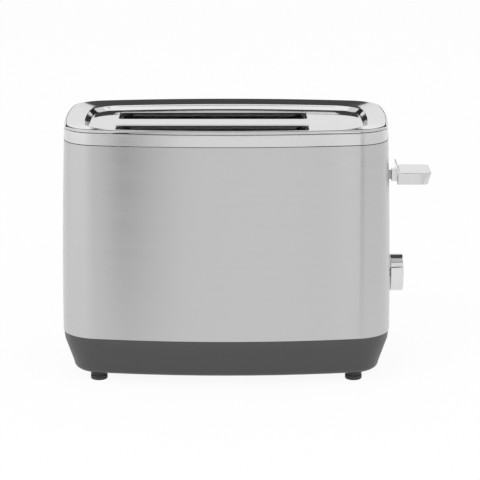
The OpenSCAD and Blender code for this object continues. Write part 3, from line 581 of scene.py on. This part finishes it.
def makeCover():
    f = coverForm
    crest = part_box("top_cover")[1].z
    inset = wallInset(crest)
    bandIn, innerZ = inset + f["rimWidth"], crest - f["fall"]
    edge = roundCorner(inset + f["edgeR"], crest - f["edgeR"], f["edgeR"], 180, 95, 8)
    steepness = f["fall"] / (f["rimWidth"] - f["edgeR"])
    bandOut, bandTop = inset + f["edgeR"] + f["edgeRun"], crest - f["edgeRun"] * steepness
    outer = sweepShell("outerEdge", edge + [(bandOut, bandTop)], closed=False)
    plateZ = crest - f["recess"]
    wallIn = bandIn + f["innerR"]
    drop = innerZ - plateZ
    hollowStart = f["slope"] - f["hollow"]
    steep = drop / (hollowStart + f["hollow"] / 2)
    section = [(bandIn, innerZ), (wallIn, innerZ - f["innerR"] * steep * 0.6)]
    section += [(bandIn + x, innerZ - steep * x) for x in (f["innerR"] * 1.8, hollowStart)]
    for i in range(1, f["wallSteps"] + 1):  # a straight slope, then a hollow that runs out into the plate
        left = 1 - i / f["wallSteps"]
        rise = steep * f["hollow"] / 2 * left ** 2
        section.append((bandIn + f["slope"] - f["hollow"] * left, plateZ + rise))
    section.append((bandIn + f["slope"] + f["flat"], plateZ))
    piece = sweepShell("polishedCover", section, False, bandIn, f["recessR"])
    joinAll("polishedCover", [piece, outer])
    edges = boundaryEdges(piece)
    points = piece.data.vertices
    nearBand = lambda v: min(abs(points[v].co.z - bandTop), abs(points[v].co.z - innerZ)) < f["near"]
    chooseEdges(piece, lambda edge: edge.key in edges and all(nearBand(v) for v in edge.vertices))
    bpy.ops.mesh.bridge_edge_loops(number_cuts=4, interpolation="LINEAR")
    bpy.ops.object.mode_set(mode="OBJECT")
    slots = [makeSlotEdge(side, plateZ) for side in (-1, 1)]
    joinAll("polishedCover", [piece] + slots)
    fillPlate(piece, plateZ)
    bpy.ops.mesh.select_mode(type="VERT")
    closeSkin()
    if upwardShare(piece) < 0.5:
        makeActive(piece)
        bpy.ops.object.mode_set(mode="EDIT")
        bpy.ops.mesh.select_all(action="SELECT")
        bpy.ops.mesh.flip_normals()
        bpy.ops.object.mode_set(mode="OBJECT")
    applyModifier(piece, "SOLIDIFY", thickness=f["sheet"], offset=-1)
    smoothOff(piece, 40)
    flattenShading(piece)
    return finishPiece(piece, "root", "polished_cover", "top_cover")


def fillPlate(piece, plateZ):
    piece.data.transform(Matrix.Scale(100, 4))  # filled at a larger scale, one half at a time
    points = piece.data.vertices
    level = lambda v: abs(points[v].co.z / 100 - plateZ) < coverForm["near"]
    edges = boundaryEdges(piece)
    rims = {v for edge in edges for v in edge}
    ends = [v for v in rims if level(v) and abs(points[v].co.y) < mm]
    deselectPoints(piece)
    for index in ends:
        points[index].select = True
    bpy.ops.object.mode_set(mode="EDIT")
    bpy.ops.mesh.edge_face_add()
    bpy.ops.object.mode_set(mode="OBJECT")
    for side in (-1, 1):
        points = piece.data.vertices
        chooseEdges(piece, lambda edge: (edge.key in edges or set(edge.key) == set(ends)) and all(
            level(v) and side * points[v].co.y > -mm for v in edge.vertices))
        bpy.ops.mesh.fill(use_beauty=True)
        bpy.ops.object.mode_set(mode="OBJECT")
    piece.data.transform(Matrix.Scale(0.01, 4))
    makeActive(piece)
    bpy.ops.object.mode_set(mode="EDIT")


def makeSlotEdge(side, plateZ):
    f = coverForm
    middle = Vector((f["slotShift"], side * (f["slotWidth"] + f["slotGap"]) / 2, 0))
    straightX = f["slotLength"] - 2 * f["slotR"]
    straightY = f["slotWidth"] - 2 * f["slotR"]
    roll = roundCorner(0, plateZ - f["rollR"], f["rollR"], 90, 180, f["rollSteps"])
    edgeX = middle.x + f["slotLength"] / 2 + f["rollR"]
    section = [(edgeX + dx, middle.y + straightY / 2, z) for dx, z in roll]
    section.append((section[-1][0], section[-1][1], plateZ - f["rollR"] - f["flange"]))
    piece = startSection("slotEdge", section)
    corners = [(1, 1, (0, -straightY, 0)), (1, -1, (-straightX, 0, 0)), (-1, -1, (0, straightY, 0)),
               (-1, 1, (straightX, 0, 0))]
    for i, (sx, sy, run) in enumerate(corners):
        if i:
            centre = (middle.x + sx * straightX / 2, middle.y + sy * straightY / 2, 0)
            bpy.ops.mesh.spin(steps=f["slotSteps"], angle=math.pi / 2, center=centre, axis=(0, 0, 1))
        bpy.ops.mesh.extrude_region_move(TRANSFORM_OT_translate={"value": run})
    centre = (middle.x + straightX / 2, middle.y + straightY / 2, 0)
    bpy.ops.mesh.spin(steps=f["slotSteps"], angle=math.pi / 2, center=centre, axis=(0, 0, 1))
    bpy.ops.mesh.select_all(action="SELECT")
    bpy.ops.mesh.remove_doubles(threshold=f["near"])
    bpy.ops.object.mode_set(mode="OBJECT")
    return piece


polishedCover = makeCover()
print("cover ready:", len(polishedCover.data.polygons))


# base and feet

def makeBase():
    piece = copyNode("baseTub", "base")
    smoothOff(piece, 28)
    flattenShading(piece)
    return finishPiece(piece, "root", "base_plastic", "base")


baseTub = makeBase()

footForm = {"edgeR": 1.1 * mm, "groove": 0.7 * mm, "hollow": 0.4 * mm, "gap": 0.05 * mm, "steps": 48}


def makeFoot(node):
    low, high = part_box(node)
    f = footForm
    radius = (high.x - low.x) / 2
    middle = (low + high) / 2
    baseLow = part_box("base")[0].z
    top = baseLow - f["gap"]
    edge = f["edgeR"]
    waist = radius - f["groove"]
    section = [(0, f["hollow"]), (radius * 0.62, f["hollow"]), (radius * 0.68, 0)]
    section += [(radius - edge + dx, z) for dx, z in roundCorner(0, edge, edge, 270, 360, 5)]
    section += [(radius, baseLow * 0.45), (waist, baseLow * 0.5), (waist, baseLow * 0.62),
                (radius, baseLow * 0.67), (radius, top), (0, top)]
    name = node.replace("foot_", "footPad_")
    piece = startSection(name, [(middle.x + x, middle.y, z) for x, z in section])
    bpy.ops.mesh.spin(steps=f["steps"], angle=2 * math.pi, center=(middle.x, middle.y, 0), axis=(0, 0, 1))
    closeSkin()
    smoothOff(piece, 30)
    return finishPiece(piece, "root", "foot_rubber", node)


for corner in ("front_left", "front_right", "rear_left", "rear_right"):
    makeFoot("foot_" + corner)
print("base and feet ready")


# lever handle: a slab with an undercut end, a fin along its inner edge and a neck

gripForm = {"length": 27.5 * mm, "finRise": 4.4 * mm, "finBase": 3.4 * mm, "finTop": 0.9 * mm,
            "finChamfer": 0.3 * mm, "finSteps": 6, "undercut": 2.7 * mm, "outerR": 4.2 * mm,
            "innerR": 0.8 * mm, "topR": 1.1 * mm, "bottomR": 0.35 * mm, "neckWidth": 9 * mm,
            "neckEdge": 0.5 * mm, "overlap": 2 * mm}


def makeGrip():
    f = gripForm
    low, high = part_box("lever_handle")
    left, top = high.x - f["length"], high.z - f["finRise"]
    slab = boxPiece("leverGrip", (left, low.y, low.z), (high.x, high.y, top))
    upright = lambda a, b: abs(a.z - b.z) > 1 * mm and min(a.x, b.x) > high.x - 1 * mm
    bevelWhere(slab, upright, f["outerR"], 10)
    inner = lambda a, b: abs(a.z - b.z) > 1 * mm and max(a.x, b.x) < left + 1 * mm
    bevelWhere(slab, inner, f["innerR"], 3)
    for vertex in slab.data.vertices:  # the outer end leans in towards its foot
        share = (vertex.co.x - left) / f["length"]
        if vertex.co.z < low.z + 1 * mm and share > 0.5:
            vertex.co.x -= f["undercut"]
    onTop = lambda a, b: min(a.z, b.z) > top - 0.01 * mm
    bevelWhere(slab, onTop, f["topR"], 4)
    atFoot = lambda a, b: max(a.z, b.z) < low.z + 0.01 * mm
    bevelWhere(slab, atFoot, f["bottomR"], 2)
    steps, chamfer = f["finSteps"], f["finChamfer"]
    slope = [(left + f["finTop"] + (f["finBase"] - f["finTop"]) * (i / steps) ** 1.6,
              high.z - chamfer - (f["finRise"] - chamfer) * (i / steps)) for i in range(steps + 1)]
    profile = [(left, top - f["overlap"]), (left, high.z - chamfer), (left + chamfer, high.z),
               (left + f["finTop"] - 0.2 * mm, high.z)] + slope
    profile.append((left + f["finBase"], top - f["overlap"]))
    fin = startSection("leverFin", [(x, low.y + chamfer, z) for x, z in profile])
    bpy.ops.mesh.edge_face_add()
    width = high.y - low.y - 2 * chamfer
    bpy.ops.mesh.extrude_region_move(TRANSFORM_OT_translate={"value": (0, width, 0)})
    closeSkin()
    neckMiddle = (low.y + high.y) / 2
    neck = boxPiece("leverNeck", (low.x, neckMiddle - f["neckWidth"] / 2, low.z),
                    (left + f["overlap"], neckMiddle + f["neckWidth"] / 2, top))
    roundEdges(neck, f["neckEdge"], 3)
    for part in (fin, neck):
        applyModifier(slab, "BOOLEAN", operation="UNION", solver="EXACT", object=part)
        bpy.data.objects.remove(part)
    smoothOff(slab, 35)
    flattenShading(slab)
    return finishPiece(slab, "lift_carriage", "chrome_trim", "lever_handle")


leverGrip = makeGrip()
print("handle ready:", len(leverGrip.data.polygons))


# browning dial and buttons, each turned about an axle that points out of the end wall

dialForm = {"radius": 15 * mm, "edgeR": 0.9 * mm, "footR": 0.4 * mm, "rimWidth": 2.2 * mm, "dish": 0.7 * mm,
            "markWidth": 1 * mm, "markLength": 7 * mm, "markDeep": 0.45 * mm, "markInset": 1.5 * mm,
            "steps": 96}
buttonForm = {"radius": 5.5 * mm, "edgeR": 0.7 * mm, "crown": 0.25 * mm, "seat": 4 * mm, "steps": 48}


def turnPiece(name, centre, section, steps):
    piece = startSection(name, [(x, centre.y, centre.z + r) for x, r in section])
    bpy.ops.mesh.spin(steps=steps, angle=2 * math.pi, center=centre, axis=(1, 0, 0))
    closeSkin()
    return piece


def makeDial():
    f = dialForm
    low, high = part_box("browning_dial")
    centre = (low + high) / 2
    r, e, w = f["radius"], f["edgeR"], f["rimWidth"]
    section = [(low.x, 0.2 * mm), (low.x, r - f["footR"]), (low.x + f["footR"], r)]
    section += [(high.x - e + dx, r - e + dr) for dx, dr in roundCorner(0, 0, e, 90, 0, 6)]
    section += [(high.x, r - w), (high.x - f["dish"] * 0.5, r - w - 0.5 * mm),
                (high.x - f["dish"], r - w - 1.2 * mm), (high.x - f["dish"], 0.2 * mm)]
    piece = turnPiece("dialKnob", centre, section, f["steps"])
    markTop, halfMark = centre.z + r - w - f["markInset"], f["markWidth"] / 2
    mark = boxPiece("dialMark", (high.x - f["dish"] - f["markDeep"], centre.y - halfMark,
                                 markTop - f["markLength"]),
                    (high.x + 1 * mm, centre.y + halfMark, markTop))
    cutAway(piece, [mark])
    smoothOff(piece, 32)
    flattenShading(piece)
    return finishPiece(piece, "dial", "chrome_dial", "browning_dial")


def makeButton(node, body):
    f = buttonForm
    low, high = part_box(node)
    centre = (low + high) / 2
    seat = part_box("body_wrap")[1].x - f["seat"]
    r, e = f["radius"], f["edgeR"]
    section = [(seat, 0.1 * mm), (seat, r)]
    section += [(high.x - f["crown"] - e + dx, r - e + dr) for dx, dr in roundCorner(0, 0, e, 90, 0, 5)]
    section += [(high.x - f["crown"] * 0.3, r * 0.5), (high.x, 0.1 * mm)]
    piece = turnPiece(node.replace("_button", "Cap"), centre, section, f["steps"])
    smoothOff(piece, 32)
    return finishPiece(piece, body, "chrome_button")


makeDial()
for name in ("cancel", "reheat", "defrost"):
    makeButton(name + "_button", name)
print("dial and buttons ready")


# lift spring, a fixed merged copy of its node; the real spring shortens as the lever goes down


def makeLiftSpring():
    piece = copyNode("liftSpring", "lift_spring")
    finishPiece(piece, "root", "spring_wire", "lift_spring")
    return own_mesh(piece)


liftSpring = makeLiftSpring()
print("spring ready")


# studio

studio = {"floor": 8.0, "floorTone": 0.93, "paleShare": 0.93, "worldFill": 0.75, "cardLevel": 0.15,
          "wrapCards": 0.6}


def paleFloor():
    deselectAll()
    bpy.ops.mesh.primitive_plane_add(size=studio["floor"], location=(0, 0, 0))
    floor = bpy.context.object
    floor.name = "studioFloor"
    material = bpy.data.materials.new("studioFloor")
    material.use_nodes = True
    tree = material.node_tree
    tree.nodes.clear()
    out = tree.nodes.new("ShaderNodeOutputMaterial")
    matt = addNode(tree, "ShaderNodeBsdfDiffuse", Color=(studio["floorTone"],) * 3 + (1,))
    glow = addNode(tree, "ShaderNodeEmission", Strength=1.0)
    mix = tree.nodes.new("ShaderNodeMixShader")
    share = mathNode(tree, "MULTIPLY", seenRays(tree), studio["paleShare"])
    tree.links.new(share, mix.inputs["Fac"])
    tree.links.new(matt.outputs["BSDF"], mix.inputs[1])
    tree.links.new(glow.outputs["Emission"], mix.inputs[2])
    tree.links.new(mix.outputs["Shader"], out.inputs["Surface"])
    floor.data.materials.append(material)


def seenRays(tree):
    path = tree.nodes.new("ShaderNodeLightPath")
    total = mathNode(tree, "ADD", path.outputs["Is Camera Ray"], path.outputs["Is Glossy Ray"])
    total = mathNode(tree, "ADD", total, path.outputs["Is Transmission Ray"])
    return mathNode(tree, "MINIMUM", total, 1.0)


def paleWorld():
    world = bpy.data.worlds.new("studioWorld")
    bpy.context.scene.world = world
    world.use_nodes = True
    tree = world.node_tree
    back = tree.nodes["Background"]
    back.inputs["Color"].default_value = (1, 1, 1, 1)
    seen = seenRays(tree)
    strength = mathNode(tree, "MULTIPLY", seen, 1.0 - studio["worldFill"])
    tree.links.new(mathNode(tree, "ADD", strength, studio["worldFill"]), back.inputs["Strength"])


def reflectedCard(name, place, size, aim, tone):
    deselectAll()
    bpy.ops.mesh.primitive_plane_add(size=1, location=place)
    card = bpy.context.object
    card.name = name
    card.scale = (size[0], size[1], 1)
    card.rotation_euler = (Vector(aim) - Vector(place)).to_track_quat("Z", "Y").to_euler()
    material = bpy.data.materials.new(name)
    material.use_nodes = True
    tree = material.node_tree
    tree.nodes.clear()
    out = tree.nodes.new("ShaderNodeOutputMaterial")
    glow = addNode(tree, "ShaderNodeEmission", Color=(tone, tone, tone, 1))
    tree.links.new(glow.outputs["Emission"], out.inputs["Surface"])
    card.data.materials.append(material)
    card.visible_camera = card.visible_diffuse = card.visible_shadow = card.visible_transmission = False


def softLamp(name, place, size, power):
    deselectAll()
    bpy.ops.object.light_add(type="AREA", location=place)
    lamp = bpy.context.object
    lamp.name = name
    lamp.data.shape = "RECTANGLE"
    lamp.data.size, lamp.data.size_y = size
    lamp.data.energy = power
    lamp.rotation_euler = (Vector((0, 0, 0.1)) - Vector(place)).to_track_quat("-Z", "Y").to_euler()
    lamp.visible_glossy = False


def arcCard(name, low, high, width, tone, distance=2.0):
    turns = [math.radians(a) for a in (low, high)]
    level = studio["cardLevel"]
    ends = [Vector((0, distance * math.cos(a), level + distance * math.sin(a))) for a in turns]
    reflectedCard(name, (ends[0] + ends[1]) / 2, (width, (ends[1] - ends[0]).length), (0, 0, level), tone)


def sideCard(name, fromTurn, toTurn, tone, height=2.0, distance=studio["wrapCards"], bottom=-0.3):
    turns = [math.radians(a) for a in (fromTurn, toTurn)]
    ends = [Vector((distance * math.sin(a), -distance * math.cos(a), bottom + height / 2)) for a in turns]
    middle = (ends[0] + ends[1]) / 2
    reflectedCard(name, middle, ((ends[1] - ends[0]).length, height), (0, 0, middle.z), tone)


arcCards = {  # lower and upper angle above the horizon behind the toaster, width and tone
    "cardBack": (20, 73, 1.3, 0.085),
    "cardTop": (73, 96, 3.4, 1.35),
    "cardTopGap": (96, 111, 3.4, 0.5),
    "cardFront": (111, 132, 3.4, 1.35),
    "cardFrontGap": (132, 140, 3.4, 0.1),
}
farCards = {  # angles round the toaster from its front, tone, height, distance and foot
    "cardLow": (174, 168.7, 0.03, 0.55, 4, 0.35),
    "cardWing": (171.4, 143, 0.03, 2.7, 4, 0.82),
}
sideCards = {  # angles round the toaster from its front, and tone
    "cardLeftRise": (-12, -17, 0.82),
    "cardLeftSoft": (-17, -21.5, 0.62),
    "cardLeftLine": (-21.5, -25, 0.1),
    "cardLeftEven": (-25, -44, 0.95),
    "cardLeft": (-44, -96, 1.08),
    "cardRightLine": (20, 23.5, 0.85),
    "cardRightPale": (23.5, 31, 1.15),
    "cardRightBand": (31, 42, 0.68),
    "cardRight": (42, 109, 0.9),
}
lamps = {  # place, size and power
    "keyLamp": ((-1.2, -1.6, 2.2), (1.6, 1.6), 28),
    "fillLamp": ((1.8, -1.4, 1.4), (1.6, 1.6), 12),
}
paleFloor()
paleWorld()
for name, values in arcCards.items():
    arcCard(name, *values)
for side, word in ((-1, "Left"), (1, "Right")):
    for name, (start, end, *values) in farCards.items():
        sideCard(name + word, side * start, side * end, *values)
for name, values in sideCards.items():
    sideCard(name, *values)
for name, values in lamps.items():
    softLamp(name, *values)
print("studio ready")


# camera

cameraForm = {"place": (0.011, -1.6747, 0.516), "pitch": 13.873, "lens": 158.955}


def placeCamera():
    deselectAll()
    tilt = math.radians(90 - cameraForm["pitch"])
    bpy.ops.object.camera_add(location=cameraForm["place"], rotation=(tilt, 0, 0))
    camera = bpy.context.object
    camera.data.lens = cameraForm["lens"]
    bpy.context.scene.camera = camera


placeCamera()
bpy.context.scene.view_settings.view_transform = "Standard"
bpy.context.view_layer.update()
print("scene ready")
